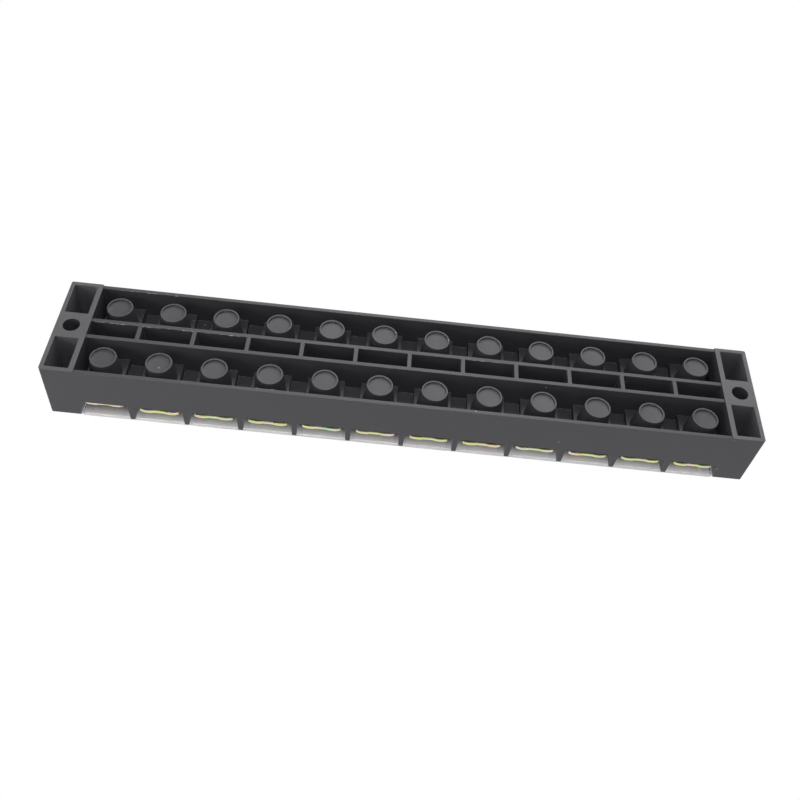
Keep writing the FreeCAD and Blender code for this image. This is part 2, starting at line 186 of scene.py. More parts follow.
def blackMouldedAbs():
    # ABS from a spark-eroded mould: satin black, a fine grain, paler worn rims, arrises paler by a painted
    # highlight and some wear, painted light in the end pockets, a few scuffs
    material, tree = newMaterial("black moulded ABS")
    place = addNode(tree, "TexCoord").outputs["Object"]
    flow = addNode(tree, "TexNoise", {}, {
        "Vector": place, "Scale": 1000 / blackLook["flow"], "Detail": 3.0, "Roughness": 0.55})
    grain = addNode(tree, "TexNoise", {}, {
        "Vector": place, "Scale": 1000 / blackLook["grain"], "Detail": 2.0, "Roughness": 0.6})
    body = addNode(tree, "Mix", {"data_type": "RGBA"}, {
        0: flow.outputs["Fac"], 6: linearColour(blackLook["body"]), 7: linearColour(blackLook["lighter"])})

    # painted light in the end blocks' pockets; a pocket: each coordinate's distance from the pocket's
    # middle is less than half its size
    apart = addNode(tree, "SeparateXYZ", {}, {0: place})
    inPocket = 1.0
    for axis, middle, half in zip("XYZ", blackLook["pocketMiddle"], blackLook["pocketHalf"]):
        out = addNode(tree, "Math", {"operation": "ABSOLUTE"}, {0: apart.outputs[axis]})
        inside = addNode(tree, "Math", {"operation": "COMPARE"}, {
            0: out.outputs[0], 1: middle * millimetre, 2: half * millimetre})
        both = addNode(tree, "Math", {"operation": "MULTIPLY"}, {0: inside.outputs[0], 1: inPocket})
        inPocket = both.outputs[0]
    pocketLightPainted = addNode(tree, "Mix", {"data_type": "RGBA"}, {
        0: inPocket, 6: body.outputs[2], 7: linearColour(blackLook["paintedPocketLight"])})

    height = apart.outputs["Z"]
    worn = addNode(tree, "MapRange", {"clamp": True}, {
        "Value": height, "From Min": blackLook["footHeight"] * millimetre,
        "From Max": 0.5 * blackLook["footHeight"] * millimetre, "To Min": 0.0, "To Max": 0.8})
    patchy = addNode(tree, "MapRange", {"clamp": True}, {
        "Value": flow.outputs["Fac"], "From Min": 0.3, "From Max": 0.7, "To Min": 0.7, "To Max": 1.0})
    wornShare = addNode(tree, "Math", {"operation": "MULTIPLY"}, {
        0: worn.outputs["Result"], 1: patchy.outputs["Result"]})
    rimmed = addNode(tree, "Mix", {"data_type": "RGBA"}, {
        0: wornShare.outputs[0], 6: pocketLightPainted.outputs[2], 7: linearColour(blackLook["foot"])})

    stretched = addNode(tree, "Mapping", {}, {"Vector": place, "Scale": (160, 900, 520)})
    rubs = addNode(tree, "TexNoise", {}, {
        "Vector": stretched.outputs["Vector"], "Scale": 1.0, "Detail": 4.0, "Roughness": 0.7,
        "Distortion": 0.6})
    scuffed = addNode(tree, "MapRange", {"clamp": True}, {
        "Value": rubs.outputs["Fac"], "From Min": 0.68, "From Max": 0.8, "To Min": 0.0, "To Max": 0.4})
    rubbed = addNode(tree, "Mix", {"data_type": "RGBA"}, {
        0: scuffed.outputs["Result"], 6: rimmed.outputs[2], 7: linearColour(blackLook["scuff"])})

    # painted highlight, with some rubbed wear, on the arrises; an arris is where the normal of a rounded
    # corner leaves the face's own: one less their dot product
    corner = addNode(tree, "Bevel", {"samples": 6}, {"Radius": blackLook["edgeHighlightWidth"] * millimetre})
    facing = addNode(tree, "NewGeometry").outputs["Normal"]
    alike = addNode(tree, "VectorMath", {"operation": "DOT_PRODUCT"}, {0: corner.outputs[0], 1: facing})
    arris = addNode(tree, "MapRange", {"clamp": True}, {
        "Value": alike.outputs["Value"], "From Min": 0.995, "From Max": 0.88,
        "To Min": 0.0, "To Max": blackLook["edgeShare"]})
    patchyEdgeHighlight = addNode(tree, "Math", {"operation": "MULTIPLY"}, {
        0: arris.outputs["Result"], 1: patchy.outputs["Result"]})
    edged = addNode(tree, "Mix", {"data_type": "RGBA"}, {
        0: patchyEdgeHighlight.outputs[0], 6: rubbed.outputs[2], 7: linearColour(blackLook["edge"])})

    # specks: the middles of scattered cells, and only of the cells with a high random value
    cells = addNode(tree, "TexVoronoi", {}, {"Vector": place, "Scale": 1000 / blackLook["speckSpacing"]})
    middle = addNode(tree, "Math", {"operation": "LESS_THAN"}, {
        0: cells.outputs["Distance"], 1: blackLook["speckSize"]})
    lottery = addNode(tree, "SeparateXYZ", {}, {0: cells.outputs["Color"]})
    chosen = addNode(tree, "Math", {"operation": "GREATER_THAN"}, {0: lottery.outputs["X"], 1: 0.7})
    speck = addNode(tree, "Math", {"operation": "MULTIPLY"}, {0: middle.outputs[0], 1: chosen.outputs[0]})
    speckShare = addNode(tree, "Math", {"operation": "MULTIPLY"}, {0: speck.outputs[0], 1: 0.45})
    colour = addNode(tree, "Mix", {"data_type": "RGBA"}, {
        0: speckShare.outputs[0], 6: edged.outputs[2], 7: linearColour(blackLook["speck"])})

    roughness = addNode(tree, "MapRange", {}, {
        "Value": flow.outputs["Fac"], "From Min": 0.3, "From Max": 0.7,
        "To Min": blackLook["roughness"] - 0.05, "To Max": blackLook["roughness"] + 0.06})
    bump = addNode(tree, "Bump", {}, {
        "Height": grain.outputs["Fac"], "Strength": 0.18, "Distance": 0.03 * millimetre})
    shader = addNode(tree, "BsdfPrincipled", {}, {
        "Base Color": colour.outputs[2], "Roughness": roughness.outputs["Result"],
        "Specular Tint": linearColour(blackLook["sheen"]), "Normal": bump.outputs["Normal"], "IOR": 1.54})
    addNode(tree, "OutputMaterial", {}, {"Surface": shader.outputs[0]})
    return material


flashLook = {
    "plastic": "#505054",
    "white": "#B0B0B0",  # where the plastic tore
    "patch": 0.9,  # in mm
    "roughness": 0.5,
}


def tornAbsFlash():
    # thin flash of the same ABS, whitened in patches where it was torn off: a steep step on a noise
    material, tree = newMaterial("stress-whitened ABS flash")
    place = addNode(tree, "TexCoord").outputs["Object"]
    cloud = addNode(tree, "TexNoise", {}, {
        "Vector": place, "Scale": 1000 / flashLook["patch"], "Detail": 3.0})
    torn = addNode(tree, "MapRange", {"clamp": True}, {
        "Value": cloud.outputs["Fac"], "From Min": 0.5, "From Max": 0.62})
    colour = addNode(tree, "Mix", {"data_type": "RGBA"}, {
        0: torn.outputs["Result"], 6: linearColour(flashLook["plastic"]),
        7: linearColour(flashLook["white"])})
    shader = addNode(tree, "BsdfPrincipled", {}, {
        "Base Color": colour.outputs[2], "Roughness": flashLook["roughness"]})
    addNode(tree, "OutputMaterial", {}, {"Surface": shader.outputs[0]})
    return material


clearLook = {
    "tint": "#F8F7F8",
    "roughness": 0.03,
    "ior": 1.585,
    "ripple": 9.0,  # faint waviness of a moulded plate, in mm
    "edge": "#F2F2F2",  # the cut long edges scatter light
    "edgeFrom": 13.35,  # out from the middle, in mm
    "edgeTo": 13.7,
    "edgeShare": 0.8,
    "shade": "#E4EAEA",  # what it leaves of a lamp's light
}


def clearPolycarbonate():
    # moulded polycarbonate: clear, glossy, faintly rippled; lamps shine through it as through a thin window
    material, tree = newMaterial("clear moulded polycarbonate")
    place = addNode(tree, "TexCoord").outputs["Object"]
    ripple = addNode(tree, "TexNoise", {}, {
        "Vector": place, "Scale": 1000 / clearLook["ripple"], "Detail": 2.0, "Roughness": 0.5})
    bump = addNode(tree, "Bump", {}, {
        "Height": ripple.outputs["Fac"], "Strength": 0.05, "Distance": 0.1 * millimetre})
    shader = addNode(tree, "BsdfPrincipled", {}, {
        "Base Color": linearColour(clearLook["tint"]), "Roughness": clearLook["roughness"],
        "IOR": clearLook["ior"], "Transmission Weight": 1.0, "Normal": bump.outputs["Normal"]})
    apart = addNode(tree, "SeparateXYZ", {}, {0: place})
    out = addNode(tree, "Math", {"operation": "ABSOLUTE"}, {0: apart.outputs["Y"]})
    frosted = addNode(tree, "MapRange", {"clamp": True}, {
        "Value": out.outputs[0], "From Min": clearLook["edgeFrom"] * millimetre,
        "From Max": clearLook["edgeTo"] * millimetre, "To Min": 0.0, "To Max": clearLook["edgeShare"]})
    scatter = addNode(tree, "BsdfDiffuse", {}, {"Color": linearColour(clearLook["edge"])})
    edged = addNode(tree, "MixShader", {}, {
        0: frosted.outputs["Result"], 1: shader.outputs[0], 2: scatter.outputs[0]})
    lamps = addNode(tree, "BsdfTransparent", {}, {"Color": linearColour(clearLook["shade"])})
    path = addNode(tree, "LightPath")
    mixed = addNode(tree, "MixShader", {}, {
        0: path.outputs["Is Shadow Ray"], 1: edged.outputs[0], 2: lamps.outputs[0]})
    addNode(tree, "OutputMaterial", {}, {"Surface": mixed.outputs[0]})
    return material


nickelLook = {
    "plate": "#CBC6BA",
    "dull": "#A9A498",
    "roughness": 0.3,
    "rolling": 0.25,  # spacing of the strip's rolling lines, in mm
}


def nickelPlatedBrass():
    # rolled brass strip with bright nickel plate: pale warm metal with fine lines along the bar
    material, tree = newMaterial("nickel-plated brass")
    place = addNode(tree, "TexCoord").outputs["Object"]
    along = addNode(tree, "Mapping", {}, {
        "Vector": place, "Scale": (1000 / nickelLook["rolling"], 40, 40)})
    lines = addNode(tree, "TexNoise", {}, {"Vector": along.outputs["Vector"], "Scale": 1.0, "Detail": 3.0})
    colour = addNode(tree, "Mix", {"data_type": "RGBA"}, {
        0: lines.outputs["Fac"], 6: linearColour(nickelLook["plate"]), 7: linearColour(nickelLook["dull"])})
    roughness = addNode(tree, "MapRange", {}, {
        "Value": lines.outputs["Fac"], "To Min": nickelLook["roughness"] - 0.08,
        "To Max": nickelLook["roughness"] + 0.1})
    shader = addNode(tree, "BsdfPrincipled", {}, {
        "Base Color": colour.outputs[2], "Metallic": 1.0, "Roughness": roughness.outputs["Result"]})
    addNode(tree, "OutputMaterial", {}, {"Surface": shader.outputs[0]})
    return material


chromateLook = {
    # the film's colour by its thickness, from bare zinc to the thickest
    "film": [
        (0.0, "#F4F2EA"),
        (0.14, "#F6ECD6"),
        (0.27, "#F4D4B4"),
        (0.42, "#EFF0A8"),
        (0.56, "#E2EFA8"),
        (0.74, "#CDEACC"),
        (0.88, "#F2F2EE"),
        (1.0, "#F2D0CA"),
    ],
    "patch": 2.2,  # size of the film's cloudy patches, in mm
    "swing": 0.2,  # how far a patch shifts the film
    "roughness": 0.42,
    "peel": 0.3,  # grain of the plating, in mm
}


def yellowChromateZinc(name, swing):
    # zinc-plated steel in yellow chromate: a thin film whose colour runs from yellow to green and pink
    material, tree = newMaterial(name)
    place = addNode(tree, "TexCoord").outputs["Object"]
    film = addNode(tree, "Attribute", {"attribute_name": "film"}).outputs["Fac"]
    cloud = addNode(tree, "TexNoise", {}, {
        "Vector": place, "Scale": 1000 / chromateLook["patch"], "Detail": 3.0, "Roughness": 0.6})
    shift = addNode(tree, "MapRange", {}, {
        "Value": cloud.outputs["Fac"], "From Min": 0.25, "From Max": 0.75,
        "To Min": -swing, "To Max": swing})
    thickness = addNode(tree, "Math", {"operation": "ADD"}, {0: film, 1: shift.outputs["Result"]})
    colour = addNode(tree, "ValToRGB", {"stops": chromateLook["film"]}, {"Fac": thickness.outputs[0]})
    peel = addNode(tree, "TexNoise", {}, {
        "Vector": place, "Scale": 1000 / chromateLook["peel"], "Detail": 2.0})
    bump = addNode(tree, "Bump", {}, {
        "Height": peel.outputs["Fac"], "Strength": 0.25, "Distance": 0.03 * millimetre})
    shader = addNode(tree, "BsdfPrincipled", {}, {
        "Base Color": colour.outputs["Color"], "Metallic": 1.0, "Roughness": chromateLook["roughness"],
        "Normal": bump.outputs["Normal"]})
    addNode(tree, "OutputMaterial", {}, {"Surface": shader.outputs[0]})
    return material


black = blackMouldedAbs()
torn = tornAbsFlash()
clear = clearPolycarbonate()
nickel = nickelPlatedBrass()
clampPlating = yellowChromateZinc("yellow chromate on pressed zinc-plated steel", chromateLook["swing"])
screwPlating = yellowChromateZinc("yellow chromate on zinc-plated screw steel", 0.5 * chromateLook["swing"])
print("materials made")


# Housing and cover

strip = {
    "poles": 12,
    "pitch": 13.0,
    "rowOffset": 8.15,  # terminals out from the middle
    "insideWall": 13.25,  # inner face of a long wall, out from the middle
    "insideRib": 2.1,  # and of a rib of the spine
    "footStep": 0.4,  # walls and ribs stop this far from the mounting plane
    "edgeRadius": 0.1,
}
firstPole = -(strip["poles"] - 1) / 2 * strip["pitch"]
housing = roundedCopy("base", "housing_moulding", black, "housing", strip["edgeRadius"])
cover = roundedCopy("cover", "clear_cover", clear, "cover", 0.22, 3)
bars = roundedCopy("contact_bars", "plated_bars", nickel, "housing", 0.14)
print("housing, cover and bars made")

# Faces of the posts: a raised rim round a shallow dish, with a soft edge and a flared root

post = {
    "radius": 3.1,
    "face": 1.1,  # rim above the mounting plane
    "rim": 0.4,
    "dish": 0.5,
    "soft": 0.08,  # radius of the rim's edges
    "root": 6.5,  # where the post grows out of its block
    "rootRadius": 3.8,
    "flare": 0.12,  # fillet there
    "skin": 0.02,  # this surface lies so far outside the CAD post
    "back": 2.0,  # hidden back of the face, in the solid plastic
    "bore": 2.6,  # hidden inner radius, in the wall round the screw's socket
    "columns": 72,
}


def quarterArc(centre, radius, start, end, count=5):
    # points on a circle about a centre, from one angle to another in degrees
    angle = np.radians(np.linspace(start, end, count))
    return np.stack([centre[0] + radius * np.cos(angle), centre[1] + radius * np.sin(angle)], axis=1)


def lathe(profile, columns, centre):
    # every profile point (radius, height) turned round the upright line through the centre
    angle = np.linspace(0, 2 * np.pi, columns, endpoint=False)
    x = centre[0] + profile[:, :1] * np.cos(angle)
    y = centre[1] + profile[:, :1] * np.sin(angle)
    z = np.broadcast_to(profile[:, 1:], x.shape)
    points = np.stack([x, y, z], axis=-1).reshape(-1, 3)
    return points, gridFaces(len(profile), columns)


def postProfile():
    # the post's section as (radius, height): out over the dish, round the rim, to the root and back inside
    soft, skin = post["soft"], post["skin"]
    outer = post["radius"] + skin
    inner = post["radius"] - post["rim"] - skin
    face = post["face"] - skin
    floor = post["face"] + post["dish"] - skin
    root = post["rootRadius"] + skin
    parts = [
        np.array([[0.0, floor], [0.45 * inner, floor]]),
        quarterArc((inner - soft, floor - soft), soft, 90, 0),
        quarterArc((inner + soft, face + soft), soft, 180, 270),
        quarterArc((outer - soft, face + soft), soft, 270, 360),
        np.array([[0.5 * (outer + root), 0.5 * (face + post["root"])]]),
        quarterArc((root + post["flare"], post["root"] - post["flare"]), post["flare"], 180, 90),
        np.array([[post["bore"], post["root"] + skin], [post["bore"], post["back"]], [0.0, post["back"]]]),
    ]
    return np.concatenate(parts)


postPatches = []
for pole in range(strip["poles"]):
    for side in (1, -1):
        centre = (firstPole + pole * strip["pitch"], side * strip["rowOffset"])
        postPatches.append(lathe(postProfile(), post["columns"], centre))
makePiece("post_faces", postPatches, black, "housing")
print("post faces made")


# Ragged flash on the walls' and ribs' edges

flash = {
    # from and to along the strip, the edge's place across it, its side, the longest tear
    "runs": [
        (-76.0, -41.0, -strip["insideRib"], 1, 0.32),
        (-73.0, -58.0, -strip["insideWall"], 1, 0.12),
        (-52.5, -49.0, strip["insideWall"], -1, 0.1),
        (-35.0, -29.5, strip["insideWall"], -1, 0.1),
        (12.0, 24.0, -strip["insideRib"], 1, 0.14),
    ],
    "spacing": 0.08,  # between the points of a torn edge
    "lump": 0.8,  # usual length of a tear
    "thick": 0.07,
    "sunk": 0.1,  # start inside the plastic
}


def flashRun(start, end, edge, side, reach, chance):
    # a strip with four points round: its tear is reach times a lump (0 to 1) times a fine tooth (0.4 to 1)
    x = np.arange(start, end, flash["spacing"])
    lumpPlaces = np.arange(start, end + flash["lump"], flash["lump"])
    lump = np.interp(x, lumpPlaces, np.clip(1.8 * chance.random(len(lumpPlaces)) - 0.7, 0, 1))
    tear = reach * lump * (0.4 + 0.6 * chance.random(len(x))) - 0.3 * flash["sunk"]
    inner = np.full(len(x), edge - side * flash["sunk"])
    outer = edge + side * tear
    low = strip["footStep"] + 0.02
    corners = [(inner, low), (outer, low), (outer, low + flash["thick"]), (inner, low + flash["thick"])]
    points = np.stack([np.stack([x, y, np.full(len(x), z)], axis=1) for y, z in corners], axis=1)
    points[0] = points[0].mean(0)
    points[-1] = points[-1].mean(0)
    return points.reshape(-1, 3), gridFaces(len(x), 4)


chance = np.random.default_rng(7)
makePiece("edge_flash", [flashRun(*run, chance) for run in flash["runs"]], torn, "housing")
print("flash made")


# Clamps

clamp = {
    "halfWidth": 4.95,
    "halfDepth": 5.6,
    "corner": 0.9,  # radius of the plate's corners
    "thick": 1.0,
    "edge": 0.22,  # rounding of the cut edges
    "wave": 0.25,  # height of the arches
    "hole": 2.2,
    "archInner": 1.2,  # start of an arch out from the middle
    "archRise": 0.8,
    "archLength": 1.4,
    "ridgeSpacing": 0.8,  # grip grooves pressed into the underside
    "ridgeDepth": 0.09,
    "burr": 0.1,  # ragged lower arris of the cut edge
}
# Film thickness at the left end, the middle and the right end of each clamp's outer edge
filmOfRow = {
    "a": [
        (0.14, 0.16, 0.14), (0.56, 0.5, 0.34), (0.16, 0.74, 0.54), (0.52, 0.54, 0.5), (0.5, 0.56, 0.84),
        (0.45, 0.42, 0.28), (0.5, 0.55, 0.52), (0.56, 0.44, 0.26), (0.7, 0.74, 0.66), (0.24, 0.44, 0.7),
        (0.52, 0.55, 0.5), (0.52, 0.5, 0.82),
    ],
    "b": [
        (0.5, 0.46, 0.6), (0.3, 0.5, 0.54), (0.6, 0.55, 0.4), (0.7, 0.6, 0.5), (0.46, 0.5, 0.3),
        (0.5, 0.7, 0.6), (0.42, 0.4, 0.5), (0.56, 0.6, 0.8), (0.3, 0.44, 0.5), (0.6, 0.5, 0.44),
        (0.52, 0.72, 0.66), (0.44, 0.5, 0.56),
    ],
}


def smoothStep(value, low, high):
    # 0 below low, 1 above high, and 3 t squared less 2 t cubed between
    t = np.clip((value - low) / (high - low), 0, 1)
    return t * t * (3 - 2 * t)


def roundedOutline(halfWidth, halfDepth, corner, perSide=16, perCorner=6):
    # a rectangle with round corners, walked anticlockwise from the lower right corner's end
    corners = []
    for k, (sx, sy) in enumerate([(1, 1), (-1, 1), (-1, -1), (1, -1)]):
        centre = (sx * (halfWidth - corner), sy * (halfDepth - corner))
        corners.append(quarterArc(centre, corner, 90 * k, 90 * k + 90, perCorner))
    walk = []
    for k in range(4):
        start, end = corners[k][-1], corners[(k + 1) % 4][0]
        share = np.linspace(0, 1, perSide + 2)[1:-1, None]
        walk += [corners[k], start + (end - start) * share]
    return np.concatenate(walk)


def clampArch(x):
    # two arches: nothing in the middle and at the ends, the full wave between
    across, inner, rise = np.abs(x), clamp["archInner"], clamp["archRise"]
    outer = inner + rise + clamp["archLength"]
    climb = smoothStep(across, inner, inner + rise)
    return clamp["wave"] * (climb - smoothStep(across, outer, outer + rise))


def clampSolid(centre, low, phase):
    # the section is a loop: out along the top, round the cut edge, back under the plate, up the hole
    edge, thick = clamp["edge"], clamp["thick"]
    outer = roundedOutline(clamp["halfWidth"], clamp["halfDepth"], clamp["corner"])
    inner = outer / np.linalg.norm(outer, axis=1)[:, None] * clamp["hole"]
    reach = np.linalg.norm(outer - inner, axis=1)[:, None]
    across = np.linspace(0, 1, 12)
    bend = np.radians(np.linspace(90, 0, 4))
    loop = []  # each entry: share of the way out, inset in millimetres, height
    for share in across[1:-1]:
        loop.append((share, 0.0, thick))
    for angle in bend:
        loop.append((1.0, edge * (1 - math.cos(angle)), thick - edge * (1 - math.sin(angle))))
    for angle in bend[::-1]:
        loop.append((1.0, edge * (1 - math.cos(angle)), edge * (1 - math.sin(angle))))
    for share in across[-2:0:-1]:
        loop.append((share, 0.0, 0.0))
    for angle in bend:
        loop.append((0.0, -edge * (1 - math.cos(angle)), edge * (1 - math.sin(angle))))
    for angle in bend[::-1]:
        loop.append((0.0, -edge * (1 - math.cos(angle)), thick - edge * (1 - math.sin(angle))))
    share = np.array([entry[0] for entry in loop])[:, None, None]
    inset = np.array([entry[1] for entry in loop])[:, None, None]
    height = np.array([entry[2] for entry in loop])[:, None]
    flat = inner + (outer - inner) * (share - inset / reach)
    x, y = flat[..., 0], flat[..., 1]
    groove = clamp["ridgeDepth"] * (0.5 + 0.5 * np.cos(2 * np.pi * x / clamp["ridgeSpacing"]))
    nearFloor = 1 - smoothStep(height, 0.0, 0.5 * thick)
    atEdge = smoothStep(share[:, 0], 0.85, 1.0)
    ragged = 0.5 + 0.3 * np.sin(2.9 * x + phase) + 0.2 * np.sin(7.7 * x + 2.3 * phase)
    z = low + height + clampArch(x) + (groove + clamp["burr"] * ragged * atEdge) * nearFloor
    points = np.stack([centre[0] + x, centre[1] + y, z], axis=-1)
    return points.reshape(-1, 3), gridFaces(len(loop), len(outer), closedRows=True)


def storeFilm(piece, film):
    # the film's thickness on every vertex, as a float attribute
    attribute = piece.data.attributes.new("film", "FLOAT", "POINT")
    attribute.data.foreach_set("value", film.astype(np.float32))


def vertexPlaces(piece):
    # each vertex's place in millimetres
    places = np.zeros(len(piece.data.vertices) * 3, np.float32)
    piece.data.vertices.foreach_get("co", places)
    return places.reshape(-1, 3) / millimetre


def makeClamp(row, pole):
    # a clamp at the middle of its CAD box, with its own ragged edge and film
    tag = f"{row}{pole + 1:02d}"
    low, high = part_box(f"clamp_{tag}")
    centre = (low + high) * 0.5 / millimetre
    phase = 1.7 * pole + ord(row)
    solid = clampSolid((centre.x, centre.y), low.z / millimetre, phase)
    piece = makePiece(f"wire_clamp_{tag}", [solid], clampPlating, f"clamp_{tag}", 30)
    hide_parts(f"clamp_{tag}")
    places = vertexPlaces(piece)
    x = places[:, 0] - centre.x
    film = np.interp(x / clamp["halfWidth"], [-1, 0, 1], filmOfRow[row][pole])
    # painted highlight: in patches near the underside the film thins to pale bare zinc; a sine along the
    # edge, steepened to a step
    underside = 1 - smoothStep(places[:, 2] - low.z / millimetre - clampArch(x), 0.15, 0.4)
    patch = smoothStep(np.sin(1.1 * x + phase), -0.3, 0.3)
    storeFilm(piece, film * (1 - underside * patch))


for row in "ab":
    for pole in range(strip["poles"]):
        makeClamp(row, pole)
print("clamps made")


# Terminal screws

screw = {
    "headRadius": 3.7,
    "headHeight": 2.1,
    "headEdge": 1.5,  # height of the straight side
    "slotHalf": 0.55,
    "slotDepth": 1.1,
    "lip": 0.08,  # rounding of the slot's edges
    "length": 8.0,
    "thread": 0.7,
    "major": 2.0,
    "minor": 1.62,
    "film": (0.46, 0.58),
}


def screwSolid(centre, seat, turn):
    # rows run over the head's top, down its side, back under it and down the thread;
    # a column y across the slot stands at the angle arcsine of y over the row's radius
    dome = screw["headRadius"] - screw["headHeight"] + screw["headEdge"]
    nearSlot = screw["slotHalf"] + screw["lip"] + 0.03
    head = np.concatenate([
        np.stack([np.linspace(nearSlot, dome, 8), np.full(8, screw["headHeight"])], axis=1),
        quarterArc((dome, screw["headEdge"]), screw["headHeight"] - screw["headEdge"], 80, 10, 4),
        np.stack([np.full(4, screw["headRadius"]), np.linspace(screw["headEdge"], 0.2, 4)], axis=1),
        np.array([[screw["headRadius"] - 0.15, 0.0], [0.5 * (screw["headRadius"] + screw["major"]), 0.0]]),
        np.array([[screw["minor"] + 0.1, 0.0]]),
    ])
    lip, half = screw["lip"], screw["slotHalf"]
    offsets = np.array([half + lip, half + 0.25 * lip, half, half - 0.02])
    drops = np.array([0.0, 0.3 * lip, lip, 99.0])
    side = np.concatenate([offsets, np.linspace(half - 0.02, -(half - 0.02), 5)[1:-1], -offsets[::-1]])
    sideDrop = np.concatenate([drops, np.full(3, 99.0), drops[::-1]])
    lands = 16
    columns = 2 * (len(side) + lands)
    drop = np.concatenate([sideDrop, np.zeros(lands), sideDrop, np.zeros(lands)])
    floor = screw["headHeight"] - np.minimum(drop, screw["slotDepth"])
    evenly = np.linspace(0, 2 * np.pi, columns, endpoint=False)

    rows = []
    for radius, height in head:
        edge = np.arcsin(np.clip(side / radius, -1, 1))
        land = np.linspace(-edge[-1], np.pi + edge[-1], lands + 2)[1:-1]
        right = edge[::-1]
        angle = np.concatenate([right, land, np.pi + right, np.pi + land])
        z = np.minimum(height, floor)
        rows.append(np.stack([radius * np.cos(angle), radius * np.sin(angle), z], axis=1))
    across = np.concatenate([side[::-1], np.full(lands, side[0]), -side[::-1], np.full(lands, -side[0])])
    first = np.stack([np.zeros(columns), across, floor], axis=1)  # the slot's section at its middle

    # thread: the radius swings between minor and major once in each turn's height, shifted round the shank
    perTurn = 6
    count = int(screw["length"] / screw["thread"] * perTurn) - 1
    down = -0.12 - np.arange(count)[:, None] * screw["thread"] / perTurn
    offset = rows[-1][:, :2]
    spin = np.unwrap(np.arctan2(offset[:, 1], offset[:, 0]))
    blend = np.clip(np.arange(count) / perTurn, 0, 1)[:, None]
    angle = spin * (1 - blend) + (evenly + spin[0]) * blend
    z = down + screw["thread"] * angle / (2 * np.pi) * blend
    z = np.clip(z, -screw["length"] + 0.45, -0.05)
    phase = (np.arange(count)[:, None] % perTurn) / perTurn
    crest = 1 - np.abs(2 * phase - 1)
    runOut = smoothStep(-z, 0.4, 1.1) * (1 - smoothStep(-z, screw["length"] - 1.2, screw["length"] - 0.5))
    radius = screw["minor"] + (screw["major"] - screw["minor"]) * crest * runOut
    shank = np.stack([radius * np.cos(angle), radius * np.sin(angle), z], axis=-1)
    tip = []
    for share, rise in ((0.9, 0.25), (0.75, 0.02), (0.0, 0.0)):
        ring = screw["minor"] * share
        flat = np.full(columns, rise - screw["length"])
        tip.append(np.stack([ring * np.cos(angle[-1]), ring * np.sin(angle[-1]), flat], axis=1))
    grid = np.concatenate([first[None], np.array(rows), shank, np.array(tip)])
    cos, sin = math.cos(turn), math.sin(turn)
    x = centre[0] + cos * grid[..., 0] - sin * grid[..., 1]
    y = centre[1] + sin * grid[..., 0] + cos * grid[..., 1]
    points = np.stack([x, y, seat + grid[..., 2]], axis=-1)
    return points.reshape(-1, 3), gridFaces(len(grid), columns)


def slotAngle(row, pole):
    # the CAD head's slot: the direction in which the head's top points spread the most
    places = vertexPlaces(nodes[f"screw_{row}{pole + 1:02d}"])
    floor = places[:, 2].max() - screw["slotDepth"]
    flat = places[np.abs(places[:, 2] - floor) < 0.01][:, :2]
    flat = flat - flat.mean(0)
    weights, axes = np.linalg.eigh(flat.T @ flat)
    return math.atan2(axes[1, 1], axes[0, 1])


def makeScrew(row, pole):
    # a screw on its CAD head's middle, slot and height; its film runs from screw to screw by a sine
    tag = f"{row}{pole + 1:02d}"
    low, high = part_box(f"screw_{tag}")
    centre = (low + high) * 0.5 / millimetre
    seat = high.z / millimetre - screw["headHeight"]
    solid = screwSolid((centre.x, centre.y), seat, slotAngle(row, pole))
    piece = makePiece(f"terminal_screw_{tag}", [solid], screwPlating, f"screw_{tag}", 35)
    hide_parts(f"screw_{tag}")
    lowFilm, highFilm = screw["film"]
    share = 0.5 + 0.5 * math.sin(2.4 * pole + ord(row))
    storeFilm(piece, np.full(len(piece.data.vertices), lowFilm + (highFilm - lowFilm) * share))


for row in "ab":
    for pole in range(strip["poles"]):
        makeScrew(row, pole)
print("screws made")


# Stage, light and camera

stage = {
    "floor": "#ECECEA",
    "floorSize": 40.0,
    "floorGlow": 0.4,  # share of the floor's paint that shows at one even level
    "softLight": 0.55,
    "mirroredAbove": 0.85,
    "mirroredBelow": 0.3,
    "tabletopGap": 0.25,  # pale surface close over the cover, in mm
    "tabletopSize": 0.5,
    "paintedShadow": "#3C3A3D",  # painted shadow: the glowing tabletop deep under the strip, seen through the windows
    "open": "#E6E2E6",  # and out beside it
    "mirrored": "#88868A",  # painted reflection: one even grey that the glowing tabletop shows to metal and plastic that mirror it
    "endGap": 77.65,  # middle of the gap between the cover and an end block, in mm
    "endGapHalf": 0.45,
    "endGapTo": 13.2,
    "paintedShadowTo": 9.5,  # the painted shadow is full out to here from the strip's middle, in mm
    "openFrom": 15.5,
}


def flatPlane(name, size, height, down=False):
    # a square at one height; its corners in the other order turn it face down
    mesh = bpy.data.meshes.new(name)
    half = size / 2
    corners = [(-half, -half, height), (half, -half, height), (half, half, height), (-half, half, height)]
    mesh.from_pydata(corners, [], [(3, 2, 1, 0) if down else (0, 1, 2, 3)])
    plane = bpy.data.objects.new(name, mesh)
    bpy.context.scene.collection.objects.link(plane)
    return plane


def paleFloor():
    # matt pale paint, seen from above only: from below the floor is clear, so the mounting side shows
    material, tree = newMaterial("pale matt floor")
    paint = addNode(tree, "BsdfDiffuse", {}, {"Color": linearColour(stage["floor"])})
    even = addNode(tree, "Emission", {}, {"Color": linearColour(stage["floor"]), "Strength": 1.0})
    seen = addNode(tree, "MixShader", {}, {0: stage["floorGlow"], 1: paint.outputs[0], 2: even.outputs[0]})
    gone = addNode(tree, "BsdfTransparent")
    geometry = addNode(tree, "NewGeometry")
    mixed = addNode(tree, "MixShader", {}, {
        0: geometry.outputs["Backfacing"], 1: seen.outputs[0], 2: gone.outputs[0]})
    addNode(tree, "OutputMaterial", {}, {"Surface": mixed.outputs[0]})
    return material


